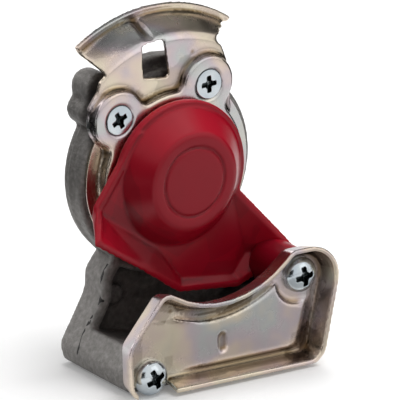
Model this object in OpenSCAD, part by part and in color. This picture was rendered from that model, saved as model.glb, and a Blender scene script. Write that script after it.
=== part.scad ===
// Palm coupling head for a vehicle's air brake line, with a swing cover over its seal.
// Pieces are drawn looking at the seal face: x to the right, y up and z towards the viewer, with
// z = 0 at the mouth of the rear air port on the seal's axis. seat() then stands the face upright,
// so that the port opens along +Y and the seal faces -Y.

/* [Air port] */
// Tapping diameter of the rear port's thread
port_d = 20.4; // [17:0.1:23]
// Depth of the threaded port
port_depth = 14; // [10:0.5:15]
// Outer diameter of the port's boss
boss_d = 32; // [29:0.5:38]
// Length of the boss behind the round housing
boss_l = 16.5; // [15.5:0.5:24]
// Diameter of the air passage between the port and the seal
throat_d = 13; // [8:0.5:15]

/* [Housing] */
// Diameter of the round housing
disc_d = 61.2; // [60:0.2:63]
// Thickness of the round housing
disc_t = 10; // [9:0.5:14]
// Radius of the crown behind the claw
crown_r = 33.5; // [32.5:0.5:36]
// Thickness of the crown
crown_t = 6; // [4:0.5:9]
// Wall of the open arm below the housing
arm_wall = 3.6; // [2.6:0.2:5]
// Thickness of the arm's back plate
arm_back_t = 4.5; // [3:0.5:7]
// Height from the seal's axis down to the foot's sole
sole_h = 58.4; // [57:0.2:63]
// Height of the foot at the middle of its hollowed top
foot_t = 6.4; // [5:0.2:8]

/* [Seal] */
// Outer diameter of the rubber seal's shoulder
seal_d = 36; // [34.8:0.2:37]
// Diameter of the seal's neck, which passes the retainer and the claw plate
seal_neck_d = 33; // [30:0.2:33.4]
// Diameter of the seal's air hole
seal_bore = 17; // [12:0.5:20]
// How far the seal stands proud of the claw's pads
seal_proud = 0.4; // [0.2:0.1:0.6]
// Thickness of the seal's retaining ring
retainer_t = 1; // [0.8:0.1:1.5]
// Outer diameter of the retaining ring
retainer_d = 57.6; // [55:0.2:58]

/* [Claw plate] */
// Thickness of both stamped plates
sheet_t = 1.5; // [1.2:0.1:2]
// How far the ring and the screw pads stand forward of the claw's field
claw_raise = 2.8; // [2:0.1:4]
// Radius of the raised ring round the seal
ring_r = 24.7; // [24:0.1:26]
// Radius of the raised pads round the screws
pad_r = 8.7; // [8.2:0.1:9.5]
// Distance from the seal's axis to each claw screw
claw_screw_r = 27.9; // [27:0.1:29]
// Direction of the left claw screw
claw_left_a = 136.5; // [130:0.5:142]
// Direction of the right claw screw
claw_right_a = 66; // [60:0.5:72]
// Radius at which the field turns into the lip
lip_base_r = 39.5; // [38:0.5:42]
// Radius of the lip's outer edge
lip_r = 48.6; // [46:0.2:50]
// How far the lip falls back behind the field
lip_drop = 9; // [6:0.5:11]
// Direction of the lip's right end
lip_from_a = 57; // [50:1:66]
// Direction of the lip's left end
lip_to_a = 126; // [116:1:130]
// Width of the window above the seal
window_w = 9; // [6:0.5:11]
// Height of the window above the seal
window_h = 11.2; // [9:0.2:11.6]

/* [Guide plate] */
// Clear depth between the seal face and the back of the guide plate
guide_gap = 18.3; // [17:0.1:22]
// Height of the guide plate's rim, measured from its back
guide_rim_h = 7.5; // [6:0.5:10]
// Radius of the guide plate's hollow top edge
guide_arc_r = 32.3; // [31.5:0.1:34]
// How much the rim flares outwards
guide_flare = 1.4; // [0.6:0.1:2]
// Height of the guide plate's raised panel
panel_raise = 1.2; // [0.8:0.1:2]
// Inner radius of the raised panel
panel_r = 39.5; // [38.5:0.1:41]

/* [Cover] */
// Diameter at the foot of the dome
dome_d = 42.4; // [40:0.2:43]
// Diameter of the dome's flat top
dome_top_d = 28.8; // [25:0.2:32]
// Height of the dome
dome_h = 7; // [5:0.5:10]
// Diameter of the cover's round plate
cover_d = 45.8; // [45:0.2:48]
// Thickness of the cover's plate
cover_t = 2.4; // [2:0.1:3]
// Wall of the cover's scoop
scoop_wall = 2; // [1.6:0.1:2.6]
// How far the scoop's rim stands forward of the plate
scoop_h = 6; // [4:0.5:8]
// Radius of the plain ring cut in the dome's top
ring_groove_r = 10.6; // [8:0.1:12]

/* [Pivot and screws] */
// Outer diameter of the pivot sleeve
sleeve_d = 8.4; // [8:0.2:9]
// Outer diameter of the cover's knuckle
knuckle_d = 12; // [11.6:0.2:13]
// Length of the cover's knuckle
knuckle_l = 6.5; // [5:0.5:9]
// Thread diameter of the pan-head screws
pan_d = 6; // [5:0.5:6.4]
// Head diameter of the pan-head screws
pan_head_d = 11; // [10:0.2:12]
// Head height of the pan-head screws
pan_head_h = 4; // [3:0.2:4.6]
// Thread diameter of the countersunk claw screws
claw_screw_d = 5; // [4:0.5:5.5]
// Head diameter of the countersunk claw screws
claw_head_d = 9.2; // [8:0.2:9.8]
// Wire diameter of the cover's spring
wire_d = 1.3; // [1:0.1:1.6]
// Turns of the cover's spring
spring_turns = 3.5; // [2.5:0.5:4]

/* [Hidden] */
$fn = 64;

// Clearances
running_gap = 0.08;
screw_gap = 0.15;
piece_gap = 0.4;
skim = 0.02;
cut = 1;

// Depths along z, from the port's mouth towards the viewer
disc_back = boss_l;
disc_front = disc_back + disc_t;
retainer_front = disc_front + retainer_t;
field_front = retainer_front + sheet_t;
pad_front = field_front + claw_raise;
seal_face = pad_front + seal_proud;
cover_back = seal_face + piece_gap;
cover_front = cover_back + cover_t;
dome_top = cover_front + dome_h;
guide_back = seal_face + guide_gap;
guide_floor = guide_back + sheet_t;
guide_front = guide_back + guide_rim_h;
arm_front = disc_front + 0.6;
seal_seat = disc_front - 6;
post_top = cover_back - piece_gap;
knuckle_top = cover_back + knuckle_l;

// Places in the seal's plane
function polar(r, a) = r * [cos(a), sin(a)];
claw_left = polar(claw_screw_r, claw_left_a);
claw_right = polar(claw_screw_r, claw_right_a);
pivot = [31.3, -30.9];
guide_hole = [-21.6, 5 - sole_h];
foot_r = sole_h - foot_t;
lobes = [[[-22.9, 27.2], 5], [[-24.6, 20.4], 4.6]];
lobe_t = 8;
claw_foot = 0.7;
lip_rim_w = 2.2;
retainer_bore_d = seal_neck_d + 2 * piece_gap;
claw_bore_d = seal_neck_d + 2 * 1.6;
screw_boss_r = pad_r - sheet_t - piece_gap;
claw_hole_d = claw_screw_d + 2 * screw_gap;
pan_hole_d = pan_d + 2 * screw_gap;
claw_head_h = (claw_head_d - claw_screw_d) / 2;
claw_screw_l = 14;
claw_top = pad_front - 0.1;
head_land = 0.2;
coil_r = sleeve_d / 2 + wire_d / 2 + 0.5;
pivot_screw_l = guide_floor - disc_back - 3;
guide_screw_l = 22;

// Outline of the arm, counter-clockwise from its neck: point and corner radius
arm = [
    [[-14, -20], 3],
    [[-21.6, -30.5], 6],
    [[-21.6, -37], 8],
    [[-29.8, 5.9 - sole_h], 4],
    [[-28.2, -sole_h], 2.5],
    [[37.5, -sole_h], 4],
    [[40.6, -33], 8],
    [[33, -22.4], 7],
    [[22, -14], 3]
];

// Outline of the guide plate's rim, counter-clockwise, with the hollow top edge as its last corner
guide_left_a = -122;
guide_right_a = -46.5;
guide_lobe = 3.8;
guide_mid_a = (guide_left_a + guide_right_a) / 2;
guide_half_a = (guide_right_a - guide_left_a) / 2;
guide = [
    [polar(guide_arc_r, guide_left_a) + guide_lobe * polar(1, guide_left_a - 90), 4],
    [[-33.2, 16.8 - sole_h], 6],
    [[-32, 0.4 - sole_h], 5],
    [[37.8, -sole_h], 6],
    [[44.4, -20.7], 11],
    [polar(guide_arc_r, guide_right_a) + guide_lobe * polar(1, guide_right_a + 90), 4.2],
    [polar(guide_arc_r / cos(guide_half_a), guide_mid_a), guide_arc_r]
];

function unit(v) = v / norm(v);
function cross2(a, b) = a[0] * b[1] - a[1] * b[0];
function inward(a, b) = let (u = unit(b - a)) [-u[1], u[0]];

// Corner b of an outline whose two edges are both moved inwards by d
function inset_corner(a, b, c, d) =
    let (n = inward(a, b), m = inward(b, c))
    b + d * (n + m) / (1 + n * m);

// Arc that rounds corner b between its neighbours, as n + 1 points
function corner_arc(a, b, c, r, n) =
    let (u = unit(a - b), v = unit(c - b),
         half = acos(u * v) / 2,
         turn = cross2(b - a, c - b) > 0 ? 1 : -1,
         centre = b + unit(u + v) * r / sin(half),
         start = b + u * r / tan(half) - centre,
         from = atan2(start[1], start[0]))
    [for (i = [0 : n]) centre + polar(r, from + turn * (180 - 2 * half) * i / n)];

// Rounded outline of the corners, moved inwards by d, always with the same number of points
function outline(corners, d, n = 8) =
    let (k = len(corners),
         p = [for (i = [0 : k - 1]) inset_corner(corners[(i + k - 1) % k][0], corners[i][0],
                                                 corners[(i + 1) % k][0], d)])
    [for (i = [0 : k - 1])
        let (a = p[(i + k - 1) % k], b = p[i], c = p[(i + 1) % k],
             convex = cross2(b - a, c - b) > 0,
             r = max(1.2, corners[i][1] + (convex ? -d : d)))
        each corner_arc(a, b, c, r, n)];

// Triangles that fill a ring with one hollow side: fans from two far points, b1 and b2, and from the
// hollow side's middle point
function fan(b, from, count, total) =
    [for (i = [0 : count - 1]) [b, (from + i) % total, (from + i + 1) % total]];
function hollow_cap(total, mid, b1, b2) = concat(
    fan(b1, mid, (b1 - mid + total) % total - 1, total),
    fan(b2, b2 + 1, (mid - b2 + total) % total - 1, total),
    fan(mid, b1, (b2 - b1 + total) % total, total));

// Solid between stacked rings of points, each ring with the same count, closed by the cap's faces
module skin(rings, cap = []) {
    count = len(rings[0]);
    top = len(rings) - 1;
    ends = len(cap) > 0 ? cap : [[for (i = [0 : count - 1]) i]];
    polyhedron(
        points = [for (ring = rings) each ring],
        faces = concat(
            ends,
            [for (k = [0 : top - 1], i = [0 : count - 1])
                let (j = (i + 1) % count)
                [k * count + j, k * count + i, (k + 1) * count + i, (k + 1) * count + j]],
            [for (face = ends) [for (i = [len(face) - 1 : -1 : 0]) top * count + face[i]]]));
}

// Outline as a ring at depth z
function ring_at(points, z) = [for (p = points) [p[0], p[1], z]];

// Slab of a flat shape between two depths
module slab(from, to) {
    translate([0, 0, from]) linear_extrude(to - from) children();
}

// Drilling between two depths
module bore(place, d, from, to) {
    translate([place[0], place[1], from]) cylinder(d = d, h = to - from);
}

// Stands the finished face upright
module seat() {
    rotate([90, 0, 0]) children();
}

// Cross recess sunk from depth z, turned by a
module cross_recess(place, size, depth, z, a) {
    arm_w = 0.27 * size;
    translate([place[0], place[1], z - depth]) rotate(a) {
        for (turn = [0, 90]) rotate(turn)
            translate([-size / 2, -arm_w / 2, 0]) cube([size, arm_w, depth + cut]);
        cylinder(d1 = 0.36 * size, d2 = 0.56 * size, h = depth + cut / 10);
    }
}

// Countersink that clears a claw screw's head all round
module countersink(place) {
    room = 4 * screw_gap;
    bore(place, claw_screw_d + room, claw_top - claw_head_h - screw_gap, claw_top - claw_head_h);
    translate([place[0], place[1], claw_top - claw_head_h])
        cylinder(d1 = claw_screw_d + room, d2 = claw_head_d + room, h = claw_head_h - head_land);
    bore(place, claw_head_d + room, claw_top - head_land, pad_front + cut);
}

// Pads round the claw's screws joined to the ring round the seal
module raised_shape(less) {
    offset(r = -3) offset(r = 3) union() {
        circle(r = ring_r - less);
        for (p = [claw_left, claw_right]) translate(p) circle(r = pad_r - less);
    }
}

// Flat field of the claw between its lip and the raised ring
module field_shape() {
    half = 2 * lip_r;
    intersection() {
        circle(r = lip_base_r + 0.6);
        polygon([[0, 0], claw_left + [-pad_r - claw_foot, 4], [-26.4, 28], [-25.6, 31.2], polar(half, lip_to_a + 2.4),
                 polar(half, 90), polar(half, lip_from_a), [30, 20]]);
    }
}

// Right end of the field and the lip: everything to the right of this line is cut away
module right_end() {
    polygon([[50, 9.5], [24.6, 9.5], [21.6, 14], [21.4, 17.7], [20.9, 27.5], [17.6, 35.9],
             [15.7, 37.9], [20.2, 39.3], [26.6, 39.9], [50, 41]]);
}

// Front curve of the lip, from the field back to its fold and out along its rim, as [radius, depth]
function lip_curve(t) =
    let (fold = 0.8,
         a = [lip_base_r, field_front], b = a + [3.4, 0],
         d = [lip_r - lip_rim_w, field_front - lip_drop], c = d + [-1.6, 4],
         edge = [lip_r, field_front - lip_drop + 0.7], s = t / fold)
    t > fold ? d + (edge - d) * (t - fold) / (1 - fold)
             : a * pow(1 - s, 3) + 3 * b * s * pow(1 - s, 2) + 3 * c * s * s * (1 - s) + d * pow(s, 3);
function lip_normal(t) = let (v = unit(lip_curve(t + 0.01) - lip_curve(t - 0.01))) [v[1], -v[0]];

module lip() {
    steps = 15;
    front = [for (i = [0 : steps]) lip_curve(i / steps)];
    back = [for (i = [steps : -1 : 0]) lip_curve(i / steps) + sheet_t * lip_normal(i / steps)];
    rotate([0, 0, lip_from_a]) rotate_extrude(angle = lip_to_a - lip_from_a, $fn = 128)
        polygon(concat(front, back));
}

module window_shape() {
    offset(r = 1) polygon([[-2.4, 30], [-4.2, 28.4 + window_h],
                           [-window_w - 0.8, 27.6 + window_h], [-window_w - 0.4, 30.8]]);
}

// Everything of the casting that stands, before it is drilled
module casting() {
    boss_r = boss_d / 2;
    disc_r = disc_d / 2;
    arm_out = outline(arm, 0);
    arm_in = outline(arm, arm_wall);
    foot_cut = sole_h - 15.4;
    rotate_extrude($fn = 96) polygon([
        [0, 0], [boss_r - 1.2, 0], [boss_r, 1.2], [boss_r, disc_back - 5], [boss_r + 4, disc_back],
        [disc_r - 2, disc_back], [disc_r, disc_back + 2], [disc_r, disc_front - 0.6],
        [disc_r - 0.6, disc_front], [0, disc_front]]);
    slab(disc_back, disc_back + crown_t) intersection() {
        circle(r = crown_r);
        polygon([[0, 0], polar(60, claw_right_a - 10), polar(60, 90), polar(60, claw_left_a - 4)]);
    }
    for (l = lobes) bore(l[0], 2 * l[1], disc_back, disc_back + lobe_t);
    slab(disc_back, disc_back + arm_back_t) polygon(arm_out);
    slab(disc_back, arm_front) difference() {
        polygon(arm_out);
        difference() {
            polygon(arm_in);
            circle(r = disc_r + 1.5);
        }
    }
    slab(disc_back, guide_back) difference() {
        intersection() {
            polygon(arm_out);
            translate([-lip_r, -sole_h]) square([2 * lip_r, sole_h - foot_cut]);
        }
        circle(r = foot_r);
    }
    bore(pivot, knuckle_d - 1, disc_back, post_top);
    bore([-14.4, -38.4], 6.4, disc_back, disc_back + arm_back_t + 1.6);
}

module body() {
    color([0.52, 0.5, 0.48]) seat() union() {
        for (p = [claw_left, claw_right]) difference() {
            bore(p, 2 * screw_boss_r, disc_back + 1, pad_front - sheet_t);
            bore(p, claw_hole_d, claw_top - claw_screw_l - 1, pad_front + cut);
            countersink(p);
        }
        difference() {
            casting();
            translate([0, 0, -cut]) cylinder(d = port_d, h = port_depth + cut);
            bore([0, 0], throat_d, port_depth - cut, disc_front);
            bore([0, 0], seal_d + 2 * piece_gap, seal_seat, disc_front + cut);
            bore([0, 0], disc_d, disc_front, arm_front + cut / 10);
            for (p = [claw_left, claw_right])
                bore(p, claw_hole_d, claw_top - claw_screw_l - 1, pad_front + cut);
            bore(pivot, pan_hole_d, guide_floor - pivot_screw_l - 1, post_top + cut);
            bore(guide_hole, pan_hole_d, guide_floor - guide_screw_l - 1, guide_back + cut);
        }
    }
}

module seal_ring() {
    bore_r = seal_bore / 2;
    neck_r = seal_neck_d / 2;
    color([0.08, 0.08, 0.08]) seat() rotate_extrude($fn = 96) polygon([
        [bore_r, seal_seat], [seal_d / 2, seal_seat], [seal_d / 2, disc_front - 0.2],
        [neck_r, disc_front - 0.2], [neck_r, seal_face - 1.2], [neck_r - 1.2, seal_face],
        [bore_r + 2.2, seal_face], [bore_r + 1.4, seal_face - 0.8], [bore_r + 1.4, seal_face - 4],
        [bore_r, seal_face - 5]]);
}

module seal_retainer() {
    color([0.72, 0.7, 0.62]) seat() difference() {
        slab(disc_front, retainer_front) circle(d = retainer_d, $fn = 96);
        bore([0, 0], retainer_bore_d, disc_front - cut, retainer_front + cut);
        for (p = [claw_left, claw_right])
            bore(p, 2 * (screw_boss_r + piece_gap), disc_front - cut, retainer_front + cut);
    }
}

module claw_plate() {
    color([0.82, 0.77, 0.64]) seat() difference() {
        union() {
            slab(retainer_front, pad_front) difference() {
                raised_shape(0);
                raised_shape(sheet_t);
            }
            slab(retainer_front, retainer_front + sheet_t / 2) difference() {
                raised_shape(-claw_foot);
                raised_shape(sheet_t);
            }
            slab(pad_front - sheet_t, pad_front) raised_shape(0);
            slab(retainer_front, field_front) difference() {
                field_shape();
                raised_shape(sheet_t);
            }
            lip();
        }
        bore([0, 0], claw_bore_d, retainer_front - cut, pad_front + cut);
        slab(field_front - lip_drop, field_front + cut) window_shape();
        slab(field_front - lip_drop - 3, pad_front + cut) right_end();
        for (p = [claw_left, claw_right]) {
            bore(p, claw_hole_d, retainer_front, pad_front + cut);
            countersink(p);
        }
    }
}

module claw_screw(place, a) {
    head_r = claw_head_d / 2;
    shank_r = claw_screw_d / 2;
    top = claw_top;
    color([0.75, 0.79, 0.83]) seat() difference() {
        translate([place[0], place[1], 0]) rotate_extrude() polygon([
            [0, top - claw_screw_l], [shank_r - 0.6, top - claw_screw_l], [shank_r, top - claw_screw_l + 0.6],
            [shank_r, top - claw_head_h], [head_r, top - head_land], [head_r - 0.2, top], [0, top]]);
        cross_recess(place, claw_head_d * 0.56, 1.6, top, a);
    }
}

module claw_screw_left() {
    claw_screw(claw_left, 28);
}

module claw_screw_right() {
    claw_screw(claw_right, 4);
}

// Raised panel of the guide plate, clear of both screws
module panel_shape() {
    difference() {
        intersection() {
            polygon(outline(guide, guide_flare + 2 * sheet_t));
            polygon([[-14.5, -20], [-14.5, -70], [31.2, -70], [31.2, 4 - sole_h], [34.4, 18 - sole_h], [34.4, -20]]);
        }
        circle(r = panel_r, $fn = 128);
        translate(pivot) circle(r = pan_head_d / 2 + 3.6);
    }
}

// Short slot pressed into the panel
module slot_shape() {
    slot = [[3.7, 13 - sole_h], [3.9, 10 - sole_h]];
    for (p = slot) translate(p) circle(r = 1.7);
    polygon([slot[0] + [-1.7, 0], slot[1] + [-1.7, 0], slot[1] + [1.7, 0], slot[0] + [1.7, 0]]);
}

module guide_plate() {
    bend = 2;
    inner_bend = bend - sheet_t + 0.3;
    outer = [for (k = [0 : 4]) let (a = 90 * k / 4)
        ring_at(outline(guide, guide_flare + bend * (1 - sin(a))), guide_back + bend * (1 - cos(a)))];
    inner = [for (k = [4 : -1 : 0]) let (a = 90 * k / 4)
        ring_at(outline(guide, guide_flare + sheet_t + inner_bend * (1 - sin(a))),
                guide_floor + inner_bend * (1 - cos(a)))];
    rim = [ring_at(outline(guide, 0), guide_front), ring_at(outline(guide, sheet_t), guide_front)];
    gap_from = guide_hole[0] - 7.4;
    gap_to = guide_hole[0] + pan_head_d / 2 + piece_gap;
    color([0.8, 0.75, 0.64]) seat() difference() {
        union() {
            skin(concat(outer, rim, inner), hollow_cap(len(rim[0]), 58, 22, 31));
            slab(guide_floor - cut / 2, guide_floor + panel_raise) panel_shape();
        }
        slab(guide_floor + 0.2, guide_front) slot_shape();
        bore(pivot, pan_hole_d, guide_back - cut, guide_front);
        bore(guide_hole, pan_hole_d, guide_back - cut, guide_front);
        translate([gap_from, -sole_h - cut, guide_floor + skim]) cube([gap_to - gap_from, 8, guide_rim_h]);
    }
}

module pan_screw(place, length, a) {
    head_r = pan_head_d / 2;
    shank_r = pan_d / 2;
    dome = [for (i = [0 : 12]) let (a = 90 * i / 12)
        [head_r * cos(a), guide_floor + 0.8 + (pan_head_h - 0.8) * sin(a)]];
    color([0.8, 0.82, 0.84]) seat() difference() {
        translate([place[0], place[1], 0]) rotate_extrude() polygon(concat(
            [[0, guide_floor - length], [shank_r - 0.7, guide_floor - length],
             [shank_r, guide_floor - length + 0.7], [shank_r, guide_floor], [head_r, guide_floor]], dome));
        cross_recess(place, pan_head_d * 0.56, 2.2, guide_floor + pan_head_h - 0.1, a);
    }
}

module guide_screw() {
    pan_screw(guide_hole, guide_screw_l, 24);
}

module pivot_screw() {
    pan_screw(pivot, pivot_screw_l, 10);
}

module pivot_sleeve() {
    color([0.7, 0.7, 0.7]) seat() difference() {
        bore(pivot, sleeve_d, post_top, guide_back);
        bore(pivot, pan_hole_d, post_top - cut, guide_back + cut);
    }
}

// Tube of n sides along a path, each ring square to the path
module tube(path, d, n = 10) {
    last = len(path) - 1;
    function along(i) = unit(path[min(i + 1, last)] - path[max(i - 1, 0)]);
    skin([for (i = [0 : last])
        let (t = along(i), s = unit(cross(t, abs(t[2]) > 0.9 ? [1, 0, 0] : [0, 0, 1])), w = cross(s, t))
        [for (k = [0 : n - 1]) let (a = 360 * k / n) path[i] + d / 2 * (cos(a) * s + sin(a) * w)]]);
}

module cover_spring() {
    low = knuckle_top + wire_d / 2 + 0.3;
    high = guide_back - wire_d / 2 - 0.3;
    steps = 20 * spring_turns;
    start_a = -60;
    coil = [for (i = [0 : steps]) let (a = start_a + 360 * spring_turns * i / steps)
        [pivot[0] + coil_r * cos(a), pivot[1] + coil_r * sin(a), low + (high - low) * i / steps]];
    end_a = start_a + 360 * spring_turns;
    leg = [for (s = [3, 7, 11]) let (p = coil[steps], q = polar(s, end_a + 90)) [p[0] + q[0], p[1] + q[1], p[2]]];
    color([0.62, 0.62, 0.6]) seat() tube(concat(coil, leg), wire_d);
}

// Corners of the scoop, counter-clockwise from the upper left: floor point, rim point, share of the
// scoop's height that the rim stands there, and corner radius
scoop = [
    [[-15.6, 16.6], [-15.6, 16.6], 0.06, 2],
    [[-30, -5], [-30, -5], 0.06, 1],
    [[-30.4, -8.4], [-35.2, -14.2], 1, 1],
    [[-9.5, -22.4], [-15.7, -26.4], 0.6, 6],
    [[-0.5, -34], [-1, -35.8], 0.3, 3],
    [[20.4, -36], [21.2, -38], 0.3, 3],
    [[26, -28.5], [38.4, -27.2], 1, 2],
    [[20.6, -7], [20.6, -7], 0.06, 3]
];

// Ring of the scoop at a share s of the way from its floor to its rim, moved inwards by d
function scoop_ring(s, d, n = 5) =
    let (path = outline([for (c = scoop) [c[0] + s * (c[1] - c[0]), c[3]]], d, n))
    [for (i = [0 : len(path) - 1])
        [path[i][0], path[i][1], cover_front + s * scoop_h * scoop[floor(i / (n + 1))][2]]];

// Same ring, level at depth z
function scoop_level(z, d, n = 5) = ring_at(scoop_ring(0, d, n), z);

module cover() {
    foot_r = dome_d / 2;
    top_r = dome_top_d / 2;
    plate_r = cover_d / 2;
    wall = scoop_wall;
    color([0.72, 0.05, 0.1]) seat() difference() {
        union() {
            skin([scoop_level(cover_back, 0.5), scoop_level(cover_back + 0.5, 0), scoop_ring(1, 0),
                  scoop_ring(1, wall), scoop_level(cover_front, wall)]);
            rotate_extrude($fn = 96) polygon([
                [0, cover_back], [plate_r, cover_back], [plate_r, cover_front - 0.4], [plate_r - 0.4, cover_front],
                [foot_r, cover_front], [top_r + 1.6, dome_top - 1.4], [top_r + 0.7, dome_top - 0.4], [top_r - 0.6, dome_top],
                [ring_groove_r + 0.6, dome_top], [ring_groove_r, dome_top - 0.8], [ring_groove_r - 0.6, dome_top],
                [0, dome_top]]);
            bore(pivot, knuckle_d, cover_back, knuckle_top);
        }
        rotate_extrude($fn = 96) polygon([
            [0, cover_back - cut], [foot_r - wall, cover_back - cut], [foot_r - wall, cover_front],
            [top_r - wall, dome_top - wall], [0, dome_top - wall]]);
        bore(pivot, sleeve_d + 2 * running_gap, cover_back - cut, knuckle_top + cut);
        bore(pivot, 2 * (coil_r + wire_d / 2 + piece_gap), knuckle_top, cover_front + scoop_h + cut);
    }
}

body();
seal_ring();
seal_retainer();
claw_plate();
claw_screw_left();
claw_screw_right();
guide_plate();
guide_screw();
pivot_screw();
pivot_sleeve();
cover_spring();
cover();
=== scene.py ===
# %% [markdown]
# Palm coupling head for an air brake line
#
# A trailer's air hose ends in a palm shaped head. Two heads are laid face to face and turned, so that
# the lip of one slides under the guide plate of the other and their rubber seals press together. A
# sprung red cover swings over the seal when nothing is coupled. This lesson dresses the solids of that
# head: a rough casting, two pressed and plated sheets, a moulded cover and a few bright screws.
#
# The solids are loaded first. They carry the sizes and the motion, so they are never moved, and each
# finished piece rides the body that it belongs to.

# %% Load the solids
import math

import bmesh
import bpy
import numpy as np
from mathutils import Matrix, Vector
from mathutils.bvhtree import BVHTree


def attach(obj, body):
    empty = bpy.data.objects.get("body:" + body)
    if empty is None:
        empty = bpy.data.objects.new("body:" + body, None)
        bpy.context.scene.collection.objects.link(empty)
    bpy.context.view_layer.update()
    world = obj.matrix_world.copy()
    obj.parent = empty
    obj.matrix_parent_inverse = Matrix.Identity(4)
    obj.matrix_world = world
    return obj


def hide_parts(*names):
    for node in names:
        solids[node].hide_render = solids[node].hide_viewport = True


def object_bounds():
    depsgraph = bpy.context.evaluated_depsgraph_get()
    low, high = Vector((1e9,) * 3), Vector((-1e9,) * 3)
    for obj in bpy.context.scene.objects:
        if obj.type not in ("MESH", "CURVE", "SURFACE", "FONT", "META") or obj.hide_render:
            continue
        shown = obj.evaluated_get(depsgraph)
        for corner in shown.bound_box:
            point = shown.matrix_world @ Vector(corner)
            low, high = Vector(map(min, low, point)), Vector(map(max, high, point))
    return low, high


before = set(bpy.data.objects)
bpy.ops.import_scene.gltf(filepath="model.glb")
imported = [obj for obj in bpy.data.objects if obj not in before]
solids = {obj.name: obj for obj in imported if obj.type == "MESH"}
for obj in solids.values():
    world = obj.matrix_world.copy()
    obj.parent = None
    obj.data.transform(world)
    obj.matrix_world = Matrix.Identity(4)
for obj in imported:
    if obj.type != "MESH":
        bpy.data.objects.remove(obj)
MM = 0.001
size_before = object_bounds()
print("solids:", sorted(solids))

# %% [markdown]
# Softened copies of the solids
#
# A pressed sheet and a casting have no sharp edges. A bevel would have to find every edge and fails on
# tiny faces, so each copy gets an even voxel skin instead, which a few rounds of smoothing then relax.
# Flat faces stay flat, and every edge and bend gains the small radius that tools leave.

# %% Make a soft copy
MERGE = 0.002 * MM


def piece_from(bm, name):
    mesh = bpy.data.meshes.new(name)
    bm.to_mesh(mesh)
    bm.free()
    piece = bpy.data.objects.new(name, mesh)
    bpy.context.collection.objects.link(piece)
    return piece


def merged_copy(node, name):
    bm = bmesh.new()
    bm.from_mesh(solids[node].data)
    bmesh.ops.remove_doubles(bm, verts=bm.verts, dist=MERGE)
    return piece_from(bm, name)


def bake_modifiers(piece):
    graph = bpy.context.evaluated_depsgraph_get()
    mesh = bpy.data.meshes.new_from_object(piece.evaluated_get(graph))
    piece.modifiers.clear()
    piece.data = mesh
    return mesh


def shade_smooth(mesh):
    mesh.polygons.foreach_set("use_smooth", [True] * len(mesh.polygons))


def soft_copy(node, name, voxel, rounds):
    piece = merged_copy(node, name)
    skin = piece.modifiers.new("even_skin", "REMESH")
    skin.mode = "VOXEL"
    skin.voxel_size = voxel
    wear = piece.modifiers.new("worn_edges", "SMOOTH")
    wear.factor = 0.5
    wear.iterations = rounds
    mesh = bake_modifiers(piece)
    shade_smooth(mesh)
    print(name, "has", len(mesh.polygons), "faces")
    return piece


# %% [markdown]
# Where bends and corners are painted darker
#
# The finishes paint bends and corners darker: painted shade, with some dirt on the casting. A vertex
# whose neighbours stand above it lies in a hollow. That measure, blurred over the skin, is kept as an
# attribute, so that a finish can follow the shape.


# %% Measure hollows
def vertex_values(mesh, name):
    values = np.empty(len(mesh.vertices) * 3)
    mesh.vertices.foreach_get(name, values)
    return values.reshape(-1, 3)


def edge_ends(mesh):
    count = len(mesh.vertices)
    ends = np.empty(len(mesh.edges) * 2, dtype=np.int32)
    mesh.edges.foreach_get("vertices", ends)
    a, b = ends.reshape(-1, 2).T
    degree = np.maximum(np.bincount(a, minlength=count) + np.bincount(b, minlength=count), 1)
    return a, b, degree


def neighbour_mean(at_a, at_b, a, b, degree):
    count = len(degree)
    return (np.bincount(a, at_a, count) + np.bincount(b, at_b, count)) / degree


def keep_values(mesh, name, values):
    layer = mesh.attributes.new(name, "FLOAT", "POINT")
    layer.data.foreach_set("value", values)


def map_hollows(piece, blur_rounds):
    mesh = piece.data
    place = vertex_values(mesh, "co")
    normal = vertex_values(mesh, "normal")
    a, b, degree = edge_ends(mesh)
    along = place[b] - place[a]
    along /= np.maximum(np.linalg.norm(along, axis=1), 1e-9)[:, None]
    rise_a = (normal[a] * along).sum(axis=1)
    rise_b = -(normal[b] * along).sum(axis=1)
    hollow = neighbour_mean(rise_a, rise_b, a, b, degree)
    for _ in range(blur_rounds):
        hollow = 0.5 * (hollow + neighbour_mean(hollow[b], hollow[a], a, b, degree))
    keep_values(mesh, "hollow", hollow)
    print(piece.name, "hollows from", round(hollow.min(), 3), "to", round(hollow.max(), 3))


# %% [markdown]
# A press also gives the inside of every bend a wide radius, so hollows are relaxed further than the
# rest of the skin. The share says how much of each step a vertex takes.

# %% Widen bends
BEND_ROUNDS = 24
FULL_HOLLOW = 0.03


def relax(piece, share, rounds):
    mesh = piece.data
    place = vertex_values(mesh, "co")
    a, b, degree = edge_ends(mesh)
    for _ in range(rounds):
        near = [neighbour_mean(place[b, k], place[a, k], a, b, degree) for k in range(3)]
        place += share[:, None] * (np.array(near).T - place) * 0.5
    mesh.vertices.foreach_set("co", place.ravel())
    mesh.update()


def widen_bends(piece):
    hollow = np.empty(len(piece.data.vertices))
    piece.data.attributes["hollow"].data.foreach_get("value", hollow)
    relax(piece, np.clip(hollow / FULL_HOLLOW, 0, 1), BEND_ROUNDS)


# %% [markdown]
# Deep pockets and places under other parts are painted darker still, as painted shade where little light
# reaches. Short rays from each vertex tell how far it is enclosed, by its own piece and by the solids
# named as neighbours. The rays are spread over a half sphere by the golden angle.

# %% Measure enclosure
GOLDEN_ANGLE = math.pi * (3 - math.sqrt(5))
RAY_START = 0.1 * MM


def half_sphere(rays):
    spread = []
    for k in range(rays):
        height = (k + 0.5) / rays
        flat = math.sqrt(1 - height * height)
        angle = GOLDEN_ANGLE * k
        spread.append(Vector((flat * math.cos(angle), flat * math.sin(angle), height)))
    return spread


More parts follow.
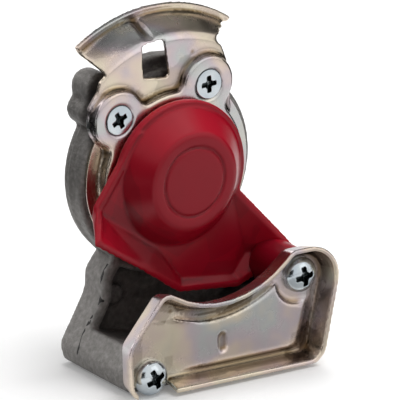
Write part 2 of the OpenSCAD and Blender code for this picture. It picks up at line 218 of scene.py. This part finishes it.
def map_enclosure(piece, reach, rays, neighbours=()):
    mesh = piece.data
    walls = bmesh.new()
    for part in (mesh, *(solids[node].data for node in neighbours)):
        walls.from_mesh(part)
    tree = BVHTree.FromBMesh(walls)
    walls.free()
    spread = half_sphere(rays)
    share = []
    for vert in mesh.vertices:
        turn = vert.normal.to_track_quat("Z", "Y")
        start = vert.co + vert.normal * RAY_START
        stopped = sum(tree.ray_cast(start, turn @ ray, reach)[0] is not None for ray in spread)
        share.append(stopped / rays)
    keep_values(mesh, "enclosed", share)
    print(piece.name, "is", round(sum(share) / len(share), 2), "enclosed on average")


# %% [markdown]
# Finishes
#
# Small helpers keep the node trees short. Every pattern reads Object coordinates, so it stays on the
# piece in every pose. Metres are the unit, so a noise scale of 100 repeats about every centimetre.


# %% Helpers for finishes
def new_finish(name, **values):
    finish = bpy.data.materials.new(name)
    finish.use_nodes = True
    shader = finish.node_tree.nodes["Principled BSDF"]
    for socket, value in values.items():
        shader.inputs[socket.replace("_", " ")].default_value = value
    return finish, finish.node_tree, shader


def feed(tree, socket, value):
    if isinstance(value, bpy.types.NodeSocket):
        tree.links.new(value, socket)
    else:
        socket.default_value = value


def object_place(tree):
    return tree.nodes.new("ShaderNodeTexCoord").outputs["Object"]


def noise(tree, scale, detail):
    cloud = tree.nodes.new("ShaderNodeTexNoise")
    cloud.inputs["Scale"].default_value = scale
    cloud.inputs["Detail"].default_value = detail
    tree.links.new(object_place(tree), cloud.inputs["Vector"])
    return cloud.outputs["Fac"]


def attribute(tree, name):
    layer = tree.nodes.new("ShaderNodeAttribute")
    layer.attribute_name = name
    return layer.outputs["Fac"]


def colour_steps(tree, factor, *steps):
    ramp = tree.nodes.new("ShaderNodeValToRGB")
    stops = ramp.color_ramp.elements
    while len(stops) < len(steps):
        stops.new(0.5)
    for stop, (position, colour) in zip(stops, steps):
        stop.position = position
        stop.color = (*colour, 1)
    tree.links.new(factor, ramp.inputs["Fac"])
    return ramp.outputs["Color"]


# %% [markdown]
# The next helpers join values: a mix of two colours, a change of range, a sum and a bump.


# %% Helpers that join values
def mix_colour(tree, factor, first, second, blend="MIX"):
    mix = tree.nodes.new("ShaderNodeMix")
    mix.data_type = "RGBA"
    mix.blend_type = blend
    for socket, value in ((mix.inputs[0], factor), (mix.inputs[6], first), (mix.inputs[7], second)):
        feed(tree, socket, value)
    return mix.outputs[2]


def multiply(tree, first, second):
    return mix_colour(tree, 1.0, first, second, "MULTIPLY")


def value_range(tree, factor, low, high):
    reach = tree.nodes.new("ShaderNodeMapRange")
    reach.inputs["To Min"].default_value = low
    reach.inputs["To Max"].default_value = high
    tree.links.new(factor, reach.inputs["Value"])
    return reach.outputs["Result"]


def hollows(tree, deepest):
    reach = tree.nodes.new("ShaderNodeMapRange")
    reach.inputs["From Max"].default_value = deepest
    tree.links.new(attribute(tree, "hollow"), reach.inputs["Value"])
    return reach.outputs["Result"]


def maths(tree, operation, first, second=0.0):
    step = tree.nodes.new("ShaderNodeMath")
    step.operation = operation
    for socket, value in zip(step.inputs, (first, second)):
        feed(tree, socket, value)
    return step.outputs[0]


def relief(tree, shader, height, depth):
    bump = tree.nodes.new("ShaderNodeBump")
    bump.inputs["Distance"].default_value = depth
    bump.inputs["Strength"].default_value = 1.0
    tree.links.new(height, bump.inputs["Height"])
    tree.links.new(bump.outputs["Normal"], shader.inputs["Normal"])


# %% [markdown]
# Cast aluminium is grey and matt. Its corners are painted darker, partly dirt and partly painted shade,
# and its pockets and the places under the other parts much darker, as painted shade.
#
# Down the outside of the arm the half moulds left a torn line of burrs. It lies in one plane, wanders a
# little, and is broken where the burr came off. It is not raised in the skin but painted as a near-black
# line: the painted shadow of the burrs.

# %% Cast finish
WHITE = (1, 1, 1)
CAST_GREYS = ((0.3, (0.185, 0.175, 0.165)), (0.5, (0.245, 0.233, 0.221)), (0.7, (0.315, 0.3, 0.287)))
# corners are darkened partly as dirt, partly as painted shade; pockets and places under other parts as
# painted shade
CAST_CORNER_DIRT_AND_SHADE = ((0.0, WHITE), (1.0, (0.4, 0.36, 0.33)))
CAST_DEPTH_SHADE = ((0.25, WHITE), (0.85, (0.1, 0.084, 0.078)))
# near-black colour of the burrs' painted shadow
BURR_SHADOW_COLOUR = (0.014, 0.012, 0.011, 1)
BURR_Y = -25.5 * MM
BURR_RIGHT = -18.5 * MM
BURR_TOP = -27 * MM
BURR_FOOT = -53.5 * MM
BURR_WIDTH = 2.2 * MM
BURR_BREAK = 0.43
BURR_WANDER = 4 * MM


def burr_shadow_line(tree):
    split = tree.nodes.new("ShaderNodeSeparateXYZ")
    tree.links.new(object_place(tree), split.inputs[0])
    x, y, z = split.outputs
    sway = maths(tree, "SUBTRACT", noise(tree, scale=130, detail=2), 0.5)
    wandering_y = maths(tree, "ADD", y, maths(tree, "MULTIPLY", sway, BURR_WANDER))
    off = maths(tree, "ABSOLUTE", maths(tree, "SUBTRACT", wandering_y, BURR_Y))
    swell = maths(tree, "SUBTRACT", noise(tree, scale=260, detail=2), BURR_BREAK)
    torn = maths(tree, "LESS_THAN", off, maths(tree, "MULTIPLY", swell, BURR_WIDTH))
    limits = ((x, "LESS_THAN", BURR_RIGHT), (z, "LESS_THAN", BURR_TOP), (z, "GREATER_THAN", BURR_FOOT))
    for value, test, limit in limits:
        torn = maths(tree, "MULTIPLY", torn, maths(tree, test, value, limit))
    return torn


def cast_finish():
    finish, tree, shader = new_finish("cast_aluminium", Metallic=0.35, Roughness=0.55)
    patches = colour_steps(tree, noise(tree, scale=650, detail=9), *CAST_GREYS)
    # painted shade in the corners, with some dirt
    corners = colour_steps(tree, hollows(tree, deepest=0.12), *CAST_CORNER_DIRT_AND_SHADE)
    # painted shade in the pockets and under the plates and cover
    depth_shade = colour_steps(tree, attribute(tree, "enclosed"), *CAST_DEPTH_SHADE)
    grain_dirt_and_shade = multiply(tree, multiply(tree, patches, corners), depth_shade)
    # the burr line is painted near black, as a painted shadow
    colour = mix_colour(tree, burr_shadow_line(tree), grain_dirt_and_shade, BURR_SHADOW_COLOUR)
    tree.links.new(colour, shader.inputs["Base Color"])
    relief(tree, shader, noise(tree, scale=1100, detail=5), depth=0.32 * MM)
    return finish


# %% [markdown]
# Plated sheet is bright steel under a thin yellow film, whose thickness drifts and so turns cream to
# pink, violet and green. Its bends are painted darker and browner, and its enclosed places darker still:
# painted shade. The screws are plated blue and bright, and their recesses are painted nearly black as
# painted shade. The sleeve and the spring are plain steel.

# %% Steel finishes
FILM = (
    (0.26, (0.52, 0.50, 0.43)),
    (0.40, (0.68, 0.60, 0.47)),
    (0.49, (0.64, 0.53, 0.46)),
    (0.56, (0.53, 0.46, 0.48)),
    (0.63, (0.49, 0.50, 0.49)),
    (0.74, (0.68, 0.60, 0.48)),
)
# painted shade in the sheet's bends, tinted brown, and in its enclosed places
PLATE_BEND_SHADE = ((0.0, WHITE), (1.0, (0.42, 0.33, 0.19)))
PLATE_DEPTH_SHADE = ((0.15, WHITE), (0.55, (0.16, 0.13, 0.10)))
SCREW_BLUES = ((0.3, (0.44, 0.50, 0.55)), (0.7, (0.60, 0.64, 0.66)))
# near-black painted shade in the screws' recesses
SCREW_RECESS_SHADE = ((0.2, WHITE), (0.5, (0.04, 0.045, 0.045)))
STEEL_GREYS = ((0.3, (0.40, 0.39, 0.37)), (0.7, (0.55, 0.54, 0.52)))


def plated_finish():
    finish, tree, shader = new_finish("zinc_plate", Metallic=1.0)
    film = colour_steps(tree, noise(tree, scale=42, detail=3), *FILM)
    # painted shade in the bends, tinted brown
    bends = colour_steps(tree, hollows(tree, deepest=0.08), *PLATE_BEND_SHADE)
    # painted shade in the enclosed places
    depth_shade = colour_steps(tree, attribute(tree, "enclosed"), *PLATE_DEPTH_SHADE)
    colour = multiply(tree, multiply(tree, film, bends), depth_shade)
    haze = value_range(tree, noise(tree, scale=160, detail=4), low=0.18, high=0.34)
    tree.links.new(colour, shader.inputs["Base Color"])
    tree.links.new(haze, shader.inputs["Roughness"])
    relief(tree, shader, noise(tree, scale=260, detail=4), depth=0.05 * MM)
    return finish


def screw_finish():
    finish, tree, shader = new_finish("screw_steel", Metallic=1.0)
    film = colour_steps(tree, noise(tree, scale=150, detail=2), *SCREW_BLUES)
    # painted shade in the cross recess
    recess_shade = colour_steps(tree, attribute(tree, "enclosed"), *SCREW_RECESS_SHADE)
    haze = value_range(tree, noise(tree, scale=500, detail=3), low=0.12, high=0.26)
    tree.links.new(multiply(tree, film, recess_shade), shader.inputs["Base Color"])
    tree.links.new(haze, shader.inputs["Roughness"])
    return finish


def plain_steel_finish():
    finish, tree, shader = new_finish("plain_steel", Metallic=1.0)
    film = colour_steps(tree, noise(tree, scale=200, detail=3), *STEEL_GREYS)
    haze = value_range(tree, noise(tree, scale=600, detail=3), low=0.25, high=0.45)
    tree.links.new(film, shader.inputs["Base Color"])
    tree.links.new(haze, shader.inputs["Roughness"])
    return finish


# %% [markdown]
# The cover is moulded in a glossy red plastic with a faint orange peel. Its enclosed places and its
# collar are painted darker, as painted shade. The seal is matt black rubber.

# %% Plastic and rubber finishes
REDS = ((0.3, (0.41, 0.002, 0.016)), (0.7, (0.46, 0.003, 0.020)))
# painted shade where the red plastic is enclosed
RED_DEPTH_SHADE = ((0.08, WHITE), (0.5, (0.4, 0.4, 0.45)))
BLACKS = ((0.3, (0.012, 0.012, 0.013)), (0.7, (0.03, 0.03, 0.032)))


def red_finish():
    finish, tree, shader = new_finish("red_plastic", Roughness=0.3, Specular_IOR_Level=0.3)
    tint = colour_steps(tree, noise(tree, scale=60, detail=3), *REDS)
    # painted shade in enclosed places
    depth_shade = colour_steps(tree, attribute(tree, "enclosed"), *RED_DEPTH_SHADE)
    tree.links.new(multiply(tree, tint, depth_shade), shader.inputs["Base Color"])
    relief(tree, shader, noise(tree, scale=900, detail=2), depth=0.015 * MM)
    return finish


def rubber_finish():
    finish, tree, shader = new_finish("rubber", Roughness=0.7)
    tint = colour_steps(tree, noise(tree, scale=200, detail=4), *BLACKS)
    tree.links.new(tint, shader.inputs["Base Color"])
    relief(tree, shader, noise(tree, scale=1500, detail=2), depth=0.03 * MM)
    return finish


finishes = {
    "cast_aluminium": cast_finish(),
    "zinc_plate": plated_finish(),
    "screw_steel": screw_finish(),
    "plain_steel": plain_steel_finish(),
    "red_plastic": red_finish(),
    "rubber": rubber_finish(),
}
print("finishes:", sorted(finishes))


# %% [markdown]
# Handing over and pushing
#
# A finished piece takes its finish, rides its body and stands for its solid. Small shapes are
# made by pushing the vertices of a soft copy along smooth falloffs, which is quicker than cutting and
# leaves no seams. A line on the face is given by two points, each an x and a z in millimetres.


# %% Hand over and push
def hand_over(piece, finish, body, *replaced):
    piece.data.materials.clear()
    piece.data.materials.append(finishes[finish])
    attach(piece, body)
    if replaced:
        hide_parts(*replaced)


def smooth_step(share):
    return share * share * (3 - 2 * share)


def fade(distance, reach):
    return smooth_step(np.clip(1 - np.abs(distance) / reach, 0, 1))


def push(piece, shift):
    mesh = piece.data
    place = vertex_values(mesh, "co") + shift
    mesh.vertices.foreach_set("co", place.ravel())
    mesh.update()


def about_axis(mesh):
    place = vertex_values(mesh, "co")
    radius = np.hypot(place[:, 0], place[:, 2])
    outward = place * np.array([1, 0, 1]) / np.maximum(radius, 1e-6)[:, None]
    return place, radius, outward


def near_line(piece, line, reach):
    start, end = np.array(line) * MM
    place = vertex_values(piece.data, "co")[:, [0, 2]] - start
    along = end - start
    share = np.clip(place @ along / (along @ along), 0, 1)
    return fade(np.linalg.norm(place - np.outer(share, along), axis=1), reach)


# %% [markdown]
# The casting
#
# The body is cast in two half moulds: soft corners, a fine grain, and a skin that is nowhere quite
# flat. A thin ridge of flash runs round the housing where the moulds met. The port behind is tapped, so
# its wall is moved out to the root of the thread.

# %% Casting
HOUSING_R = 30.6 * MM
PARTING_Y = -21.4 * MM
FLASH_H = 0.4 * MM
PORT_R = 10.2 * MM
PORT_DEPTH = 14 * MM
PORT_END = 0.3 * MM
THREAD_DEPTH = 0.8 * MM
casting = soft_copy("body", "casting", 0.62 * MM, 8)
place, radius, outward = about_axis(casting.data)
flash = FLASH_H * fade(place[:, 1] - PARTING_Y, 0.9 * MM) * fade(radius - HOUSING_R, 1.2 * MM)
tapped = (place[:, 1] > PORT_END - PORT_DEPTH) * fade(radius - PORT_R, 1.6 * MM)
push(casting, outward * (flash + THREAD_DEPTH * np.sqrt(tapped))[:, None])
# the hollows drive the casting's painted corner shade
map_hollows(casting, 6)
# the enclosure drives the painted shade in the casting's pockets and under the plates and cover
map_enclosure(casting, 22 * MM, 14, ("claw_plate", "guide_plate", "cover"))
hand_over(casting, "cast_aluminium", "head", "body")

# %% [markdown]
# The thread in the port is one tooth, spun about the port's axis and moved along it at every step. It
# is cut in the casting, but cut metal is bright, like the plain steel.

# %% Port thread
PITCH = 1.5 * MM
STEPS = 48
TURNS = 8
THREAD_END_Y = 1.2 * MM - PORT_DEPTH
ROOT_R = PORT_R + THREAD_DEPTH + 0.25 * MM
ROOT_HALF = 0.62 * MM
CREST_HALF = 0.1 * MM
tooth = ((ROOT_R, -ROOT_HALF), (PORT_R, -CREST_HALF), (PORT_R, CREST_HALF), (ROOT_R, ROOT_HALF))
bm = bmesh.new()
bm.faces.new([bm.verts.new((tooth_r, y + THREAD_END_Y, 0)) for tooth_r, y in tooth])
bmesh.ops.spin(
    bm,
    geom=bm.faces[:] + bm.edges[:] + bm.verts[:],
    cent=(0, 0, 0),
    axis=(0, 1, 0),
    dvec=(0, PITCH / STEPS, 0),
    angle=2 * math.pi * TURNS,
    steps=STEPS * TURNS,
)
bmesh.ops.remove_doubles(bm, verts=bm.verts, dist=0.001 * MM)
bmesh.ops.recalc_face_normals(bm, faces=bm.faces)
thread = piece_from(bm, "port_thread")
hand_over(thread, "plain_steel", "head")
print("port thread has", len(thread.data.polygons), "faces")

# %% [markdown]
# The pressed plates
#
# The claw's lip has a shallow dent near its middle, and its right end, which is cut at a slant, is relaxed
# until the cut runs smoothly. Both plates carry a small round pip mark.

# %% Claw plate
PIP_R = 0.95 * MM
PIP_DEPTH = 0.7 * MM
DENT_ANGLE = math.radians(101)
DENT_R = 44.6 * MM
DENT_DEPTH = 1.1 * MM
LIP_END = np.array([16.0, -24, 38.5]) * MM


def pip_mark(piece, x, z):
    place = vertex_values(piece.data, "co")
    near = fade(np.hypot(place[:, 0] - x, place[:, 2] - z), PIP_R)
    push(piece, np.outer(near, (0, PIP_DEPTH, 0)))


def finish_plate(piece, node):
    # the hollows widen the bends and drive the painted shade in them
    map_hollows(piece, 8)
    widen_bends(piece)
    # the enclosure drives the painted shade in the plate's pockets
    map_enclosure(piece, 8 * MM, 8)
    hand_over(piece, "zinc_plate", "head", node)


claw = soft_copy("claw_plate", "claw_sheet", 0.42 * MM, 12)
place, radius, outward = about_axis(claw.data)
sideways = place[:, 0] * math.sin(DENT_ANGLE) - place[:, 2] * math.cos(DENT_ANGLE)
dent = fade(sideways, 2.4 * MM) * fade(radius - DENT_R, 3.6 * MM) * (place[:, 2] > 0)
push(claw, (np.array([0, 1, 0]) - outward) * DENT_DEPTH * dent[:, None])
pip_mark(claw, 6.8 * MM, 35.6 * MM)
from_lip_end = np.linalg.norm(vertex_values(claw.data, "co") - LIP_END, axis=1)
relax(claw, fade(from_lip_end, 8 * MM), 40)
finish_plate(claw, "claw_plate")

# %% [markdown]
# The guide plate's raised panel dies away to the left. The solid ends it at a step, so the panel's front
# is sunk along a smooth slope until it meets the floor of the tray. The bends at the panel's foot and at
# its right end are drawn wide.

# %% Guide plate
FLOOR_Y = -52 * MM
PANEL_RAISE = 1.2 * MM
PANEL_Y = FLOOR_Y - PANEL_RAISE
PANEL_LEFT = -14.5 * MM
PANEL_FADE = 11 * MM
STEP_REACH = 1.2 * MM
PANEL_FOOT = ((-13, -54.4), (31, -54.4))
PANEL_RIGHT = ((31.4, -53), (34.4, -40.4))
guide = soft_copy("guide_plate", "guide_sheet", 0.42 * MM, 9)
place = vertex_values(guide.data, "co")
normal = vertex_values(guide.data, "normal")
slope = np.clip((PANEL_LEFT + PANEL_FADE - place[:, 0]) / PANEL_FADE, 0, 1)
faded_y = PANEL_Y + PANEL_RAISE * smooth_step(slope)
at_step = np.abs(place[:, 0] - PANEL_LEFT) < STEP_REACH
on_panel = (normal[:, 1] < np.where(at_step, -0.2, -0.8)) & (place[:, 0] > PANEL_LEFT - STEP_REACH)
on_panel &= (place[:, 1] > PANEL_Y - 0.3 * MM) & (place[:, 1] < FLOOR_Y + 0.1 * MM)
sink = np.where(on_panel, np.maximum(faded_y - place[:, 1], 0), 0)
push(guide, np.outer(sink, (0, 1, 0)))
print("panel faded over", int((sink > 0).sum()), "vertices")
relax(guide, near_line(guide, PANEL_FOOT, 2.6 * MM), 40)
relax(guide, near_line(guide, PANEL_RIGHT, 4 * MM), 60)
pip_mark(guide, -14.8 * MM, -34.4 * MM)
finish_plate(guide, "guide_plate")

# %% [markdown]
# The cover
#
# The cover is one moulding, with a dome over the seal and a scoop down to the pivot. The scoop's low
# left edge lies at a slant to the voxels, so it is relaxed further.

# %% Cover
LOW_EDGE = ((-34.5, -11.5), (-8, -29))
shell = soft_copy("cover", "cover_moulding", 0.33 * MM, 9)
relax(shell, near_line(shell, LOW_EDGE, 4 * MM), 45)
# the enclosure drives the painted shade in the cover's scoop and corners
map_enclosure(shell, 14 * MM, 10)
hand_over(shell, "red_plastic", "cover", "cover")

# %% [markdown]
# A collar moulded on the cover keeps dirt off the spring. Its section is given as radius and distance in
# front of the port's mouth, in millimetres, and is spun about the pivot.

# %% Spring collar
PIVOT = Vector((31.3, 0, -30.9)) * MM
COLLAR = ((5.2, 36.8), (7.2, 36.8), (7.0, 48.8), (6.3, 48.8), (6.3, 39.2), (5.2, 39.2))
bm = bmesh.new()
verts = [bm.verts.new(PIVOT + Vector((from_pivot, -front, 0)) * MM) for from_pivot, front in COLLAR]
edges = [bm.edges.new((verts[k], verts[k - 1])) for k in range(len(verts))]
bmesh.ops.spin(
    bm, geom=verts + edges, cent=PIVOT, axis=(0, 1, 0), angle=2 * math.pi, steps=64, use_merge=True
)
bmesh.ops.recalc_face_normals(bm, faces=bm.faces)
collar = piece_from(bm, "spring_collar")
shade_smooth(collar.data)
soft_edge = collar.modifiers.new("soft_edge", "BEVEL")
soft_edge.width = 0.35 * MM
soft_edge.segments = 3
soft_edge.limit_method = "ANGLE"
# enclosure by the plate, cover and body drives the collar's painted shade
map_enclosure(collar, 14 * MM, 24, ("guide_plate", "cover", "body"))
hand_over(collar, "red_plastic", "cover")
print("spring collar has", len(collar.data.polygons), "faces")

# %% [markdown]
# Small pieces
#
# The screws get a fine soft copy, because the shade painted into a cross recess is what makes it read. The
# rest of the small pieces stay as they are, with their edges broken by a bevel.

# %% Screws, seal and spring
SCREWS = ("claw_screw_left", "claw_screw_right", "guide_screw", "pivot_screw")
SMALL_PIECES = {
    "pivot_sleeve": "plain_steel",
    "cover_spring": "plain_steel",
    "seal_ring": "rubber",
    "seal_retainer": "zinc_plate",
}
for node in SCREWS:
    screw = soft_copy(node, node + "_bright", 0.17 * MM, 2)
    # the enclosure drives the painted shade in the cross recess
    map_enclosure(screw, 3 * MM, 12)
    hand_over(screw, "screw_steel", "head", node)

for node, finish in SMALL_PIECES.items():
    solid = solids[node]
    solid.data.materials.clear()
    solid.data.materials.append(finishes[finish])
    weld = solid.modifiers.new("weld", "WELD")
    weld.merge_threshold = MERGE
    bevel = solid.modifiers.new("worn_edges", "BEVEL")
    bevel.width = 0.15 * MM
    bevel.segments = 2
    bevel.limit_method = "ANGLE"
    bevel.angle_limit = math.radians(40)
print("dressed in place:", sorted(SMALL_PIECES))

# %% [markdown]
# Studio
#
# The floor is pale and the surround white, but only to rays that are seen: those of the camera, of
# mirrors and of glass. To all other light the floor is grey and the surround dim, so the lamps do the
# lighting.

# %% Floor
FLOOR_GAP = 0.2 * MM
FLOOR_HALF = 4
FLOOR_SEEN = (0.93, 0.93, 0.93, 1)
FLOOR_LIT = (0.35, 0.35, 0.35, 1)
FLOOR_GLOW = 0.14


def seen_rays(tree):
    path = tree.nodes.new("ShaderNodeLightPath")
    seen = path.outputs["Is Camera Ray"]
    for kind in ("Is Glossy Ray", "Is Transmission Ray"):
        seen = maths(tree, "MAXIMUM", seen, path.outputs[kind])
    return seen


floor_z = size_before[0][2] - FLOOR_GAP
bm = bmesh.new()
bmesh.ops.create_grid(bm, x_segments=1, y_segments=1, size=FLOOR_HALF)
bmesh.ops.translate(bm, verts=bm.verts, vec=(0, 0, floor_z))
floor = piece_from(bm, "floor")
floor_finish, floor_tree, floor_shader = new_finish(
    "floor", Roughness=0.9, Specular_IOR_Level=0.0, Emission_Color=(1, 1, 1, 1)
)
floor_tone = mix_colour(floor_tree, seen_rays(floor_tree), FLOOR_LIT, FLOOR_SEEN)
floor_tree.links.new(floor_tone, floor_shader.inputs["Base Color"])
floor_glow = value_range(floor_tree, seen_rays(floor_tree), low=0, high=FLOOR_GLOW)
floor_tree.links.new(floor_glow, floor_shader.inputs["Emission Strength"])
floor.data.materials.append(floor_finish)
print("floor at", round(floor_z / MM, 1), "mm")

# %% [markdown]
# A wide lamp overhead is the key. Two lamps behind draw bright rims, and a weak one fills the front.

# %% Lamps
CENTRE = (0, -0.03, 0)


def facing(place, target):
    return (Vector(target) - Vector(place)).to_track_quat("-Z", "Y").to_euler()


def soft_lamp(name, place, size, watts):
    data = bpy.data.lights.new(name, "AREA")
    data.size = size
    data.energy = watts
    lamp = bpy.data.objects.new(name, data)
    lamp.location = place
    lamp.rotation_euler = facing(place, CENTRE)
    bpy.context.collection.objects.link(lamp)
    print("lamp", name, "gives", watts, "W")


soft_lamp("overhead", (0.19, -0.02, 0.72), size=0.6, watts=5.2)
soft_lamp("front_fill", (0.4, -0.8, 0.35), size=0.5, watts=0.4)
soft_lamp("back", (0.35, 0.6, 0.4), size=0.4, watts=1.2)
soft_lamp("back_left", (-0.55, 0.45, 0.4), size=0.5, watts=1.2)

# %% [markdown]
# Bright metal only looks like metal when it has something dark to mirror. Black flags hang outside the
# picture or just off the part, and only mirror rays see them. Two more lie on the floor, the front one
# pale, and darken what the plates mirror of it.

# %% Flags
BLACK = 0.01
PALE = 0.55
ON_FLOOR = floor_z + 1 * MM
HIDDEN_FROM = ("camera", "diffuse", "transmission", "volume_scatter", "shadow")


def black_flag(name, place, target, width, height, tone=BLACK):
    bm = bmesh.new()
    bmesh.ops.create_grid(bm, x_segments=1, y_segments=1, size=0.5)
    bmesh.ops.scale(bm, verts=bm.verts, vec=(width, height, 1))
    flag = piece_from(bm, name)
    flag.location = place
    flag.rotation_euler = facing(place, target)
    cloth = new_finish(name, Base_Color=(tone, tone, tone, 1), Roughness=1.0, Specular_IOR_Level=0.0)[0]
    flag.data.materials.append(cloth)
    for kind in HIDDEN_FROM:
        setattr(flag, "visible_" + kind, False)
    print("flag", name, "is", width, "by", height, "m")


black_flag("flag_left", (-0.05, -0.0155, 0.0155), (-0.021, -0.0535, 0.0155), width=0.038, height=0.059)
black_flag("flag_top", (0.17, 0.08, 0.34), CENTRE, width=0.6, height=0.8)
black_flag("flag_room", (-0.5, -0.42, 0.08), CENTRE, width=0.6, height=0.36)
black_flag("flag_right", (0.17, -0.05, 0.02), (0, -0.04, -0.01), width=0.14, height=0.12)
black_flag("flag_side", (-0.2, -0.15, ON_FLOOR), (-0.2, -0.15, 1), width=0.26, height=0.26)
black_flag("flag_low", (0.035, -0.105, ON_FLOOR), (0.035, -0.105, 1), width=0.11, height=0.08, tone=PALE)

# %% [markdown]
# The surround is plain white at strength 1 where it is seen, and dimmer where it only lights.

# %% Surround
SEEN_STRENGTH = 1
LIT_STRENGTH = 0.27


def plain_background(tree, strength):
    background = tree.nodes.new("ShaderNodeBackground")
    background.inputs["Color"].default_value = (1, 1, 1, 1)
    background.inputs["Strength"].default_value = strength
    return background.outputs[0]


world = bpy.data.worlds.new("surround")
bpy.context.scene.world = world
world.use_nodes = True
tree = world.node_tree
tree.nodes.clear()
choose = tree.nodes.new("ShaderNodeMixShader")
output = tree.nodes.new("ShaderNodeOutputWorld")
tree.links.new(seen_rays(tree), choose.inputs["Fac"])
tree.links.new(plain_background(tree, LIT_STRENGTH), choose.inputs[1])
tree.links.new(plain_background(tree, SEEN_STRENGTH), choose.inputs[2])
tree.links.new(choose.outputs[0], output.inputs["Surface"])
bpy.context.scene.view_settings.view_transform = "Standard"
print("surround lights at", LIT_STRENGTH)

# %% [markdown]
# Camera
#
# A long lens looks at the seal's face from the side of minus X and a little from above. The camera leans
# by two degrees, and its aim is shifted until the head fills the frame.

# %% Camera
TURN = math.radians(35.05)
RISE = math.radians(19.62)
LEAN = math.radians(-2)
MIDDLE = Vector((0, -35 * MM, 0))
SHIFT_RIGHT = 5.35 * MM
SHIFT_DOWN = 7.15 * MM
DISTANCE = 1.5
LENS = 459
SENSOR = 36
lean = Matrix.Rotation(LEAN, 3, "Y")
right = Vector((math.cos(TURN), -math.sin(TURN), 0))
back = Vector((-math.sin(TURN) * math.cos(RISE), -math.cos(TURN) * math.cos(RISE), math.sin(RISE)))
up = back.cross(right)
right, back, up = (lean @ axis for axis in (right, back, up))
aim = MIDDLE + right * SHIFT_RIGHT - up * SHIFT_DOWN
pose = Matrix((right, up, back)).transposed().to_4x4()
pose.translation = aim + back * DISTANCE
camera_data = bpy.data.cameras.new("camera")
camera_data.lens = LENS
camera_data.sensor_width = SENSOR
camera = bpy.data.objects.new("camera", camera_data)
camera.matrix_world = pose
bpy.context.collection.objects.link(camera)
bpy.context.scene.camera = camera
print("camera at", [round(c, 3) for c in pose.translation])
